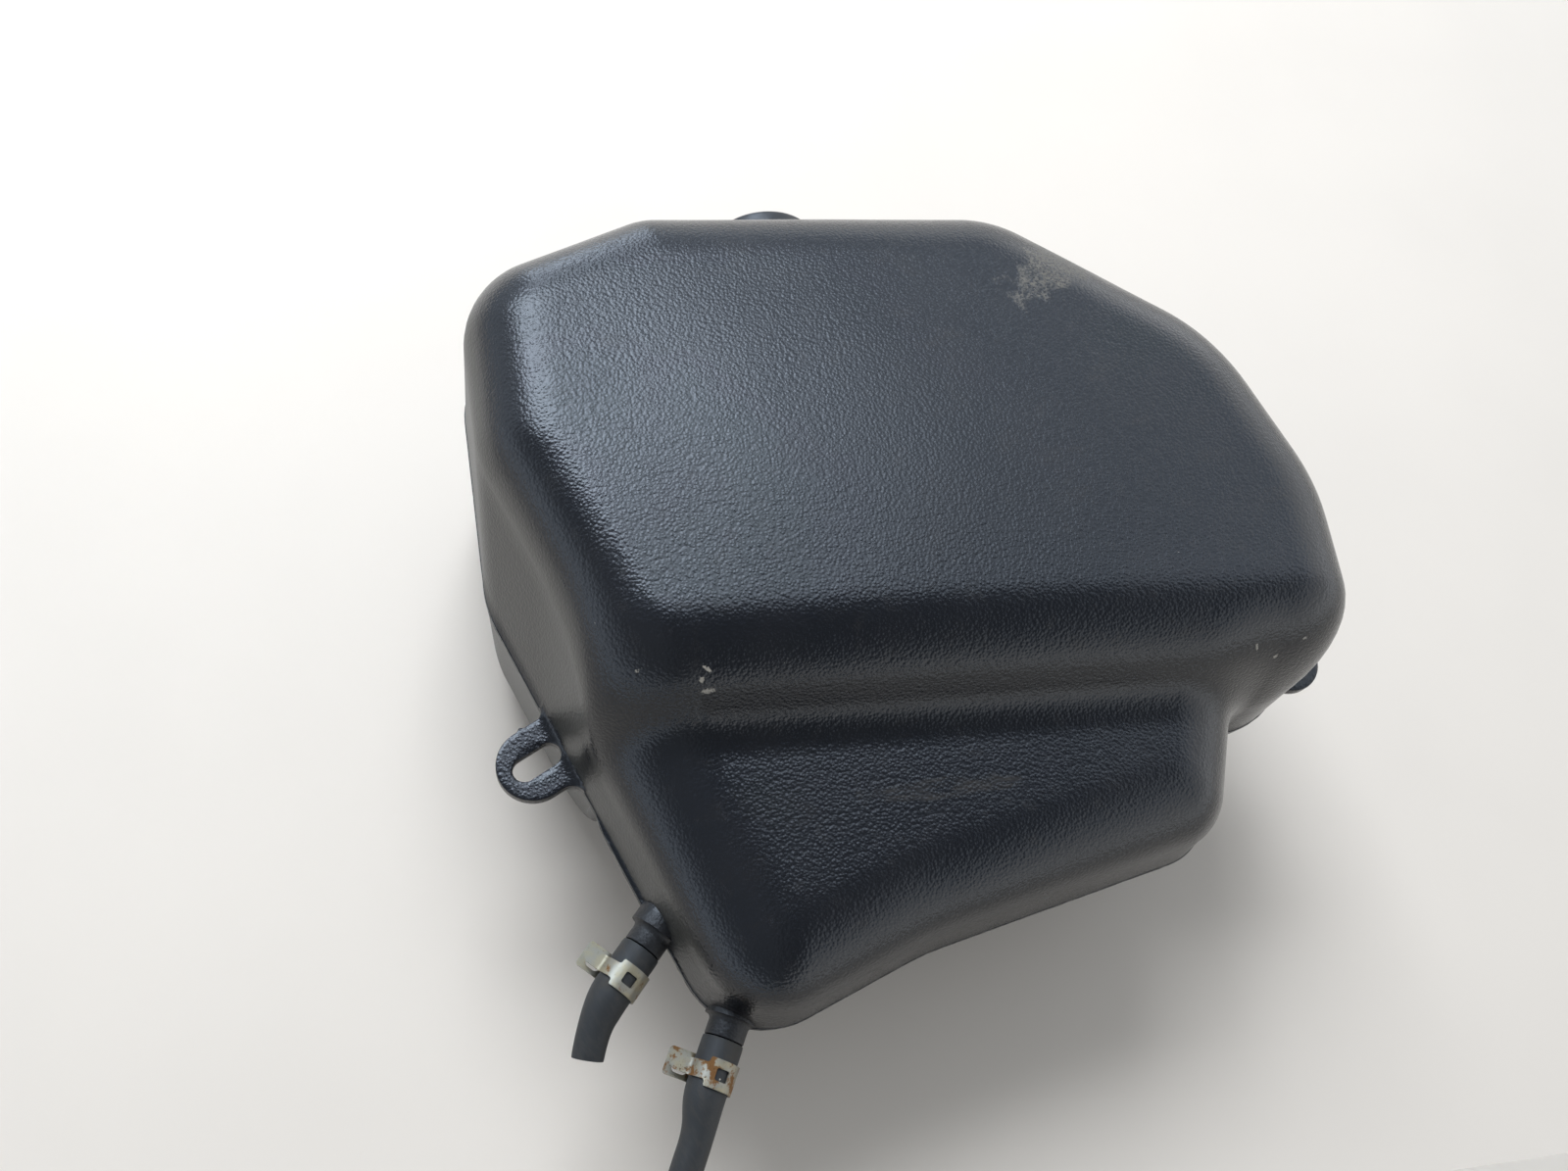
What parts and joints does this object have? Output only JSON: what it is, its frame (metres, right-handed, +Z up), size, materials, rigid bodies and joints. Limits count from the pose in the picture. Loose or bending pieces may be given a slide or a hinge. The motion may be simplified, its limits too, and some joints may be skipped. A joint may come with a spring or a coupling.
{
  "type": "moulded fluid tank",
  "caption": "Black moulded fluid tank in two half shells with a vented screw cap, two hose outlets with spring clamps and slotted mounting ears.",
  "frame": {"origin": "centre of the flat pad on the back of the rear shell", "axes": "+Z up, with the filler on top; +X across the tank, to the right seen from the front; the front shell faces -Y and the back pad +Y; the seam lies in a plane of constant Y"},
  "size_m": [0.3123, 0.16, 0.3794],
  "materials": {
    "tank_plastic": "moulded black plastic with a fine leather grain",
    "neck_plastic": "smooth moulded plastic",
    "cap_plastic": "satin moulded plastic",
    "gasket_rubber": "matt",
    "vent_rubber": "matt",
    "retainer_nylon": "natural nylon",
    "spring_steel": "drawn wire",
    "spigot_nylon": "smooth moulded nylon",
    "strainer_nylon": "natural nylon",
    "hose_rubber": "matt, scuffed",
    "clamp_zinc": "zinc plated, yellow passivated, with rust spots"
  },
  "bodies": {
    "tank": {"front_shell": "tank_plastic", "rear_shell": "tank_plastic", "filler_neck": "neck_plastic", "side_spigot": "spigot_nylon", "bottom_spigot": "spigot_nylon", "outlet_strainer": "strainer_nylon", "side_hose": "hose_rubber", "bottom_hose": "hose_rubber"},
    "gasket": {"cap_gasket": "gasket_rubber"},
    "cap": {"filler_cap": "cap_plastic", "vent_retainer": "retainer_nylon", "vent_spring": "spring_steel"},
    "vent_valve": {"vent_disc": "vent_rubber"},
    "side_clamp": {"side_hose_clamp": "clamp_zinc"},
    "bottom_clamp": {"bottom_hose_clamp": "clamp_zinc"}
  },
  "joints": [
    {"name": "cap_lift", "type": "slide", "parent": "tank", "child": "gasket", "axis": [0, 0, 1], "range_m": [0, 0.008]},
    {"name": "cap_turn", "type": "hinge", "parent": "gasket", "child": "cap", "pos_m": [-0.0286, -0.082, 0.12], "axis": [0, 0, 1], "range_deg": [0, 720]},
    {"name": "vent_open", "type": "slide", "parent": "cap", "child": "vent_valve", "axis": [0, 0, -1], "range_m": [0, 0.001], "stiffness_N_per_m": 150, "deforming": ["vent_spring"]},
    {"name": "side_clamp_slide", "type": "slide", "parent": "tank", "child": "side_clamp", "axis": [-0.6532, 0, -0.7572], "range_m": [-0.005, 0.003]},
    {"name": "bottom_clamp_slide", "type": "slide", "parent": "tank", "child": "bottom_clamp", "axis": [-0.4332, 0, -0.9013], "range_m": [-0.005, 0.003]}
  ],
  "couplings": [
    {"joint": "cap_turn", "follows": "cap_lift", "rad_per_m": 1570.8}
  ]
}
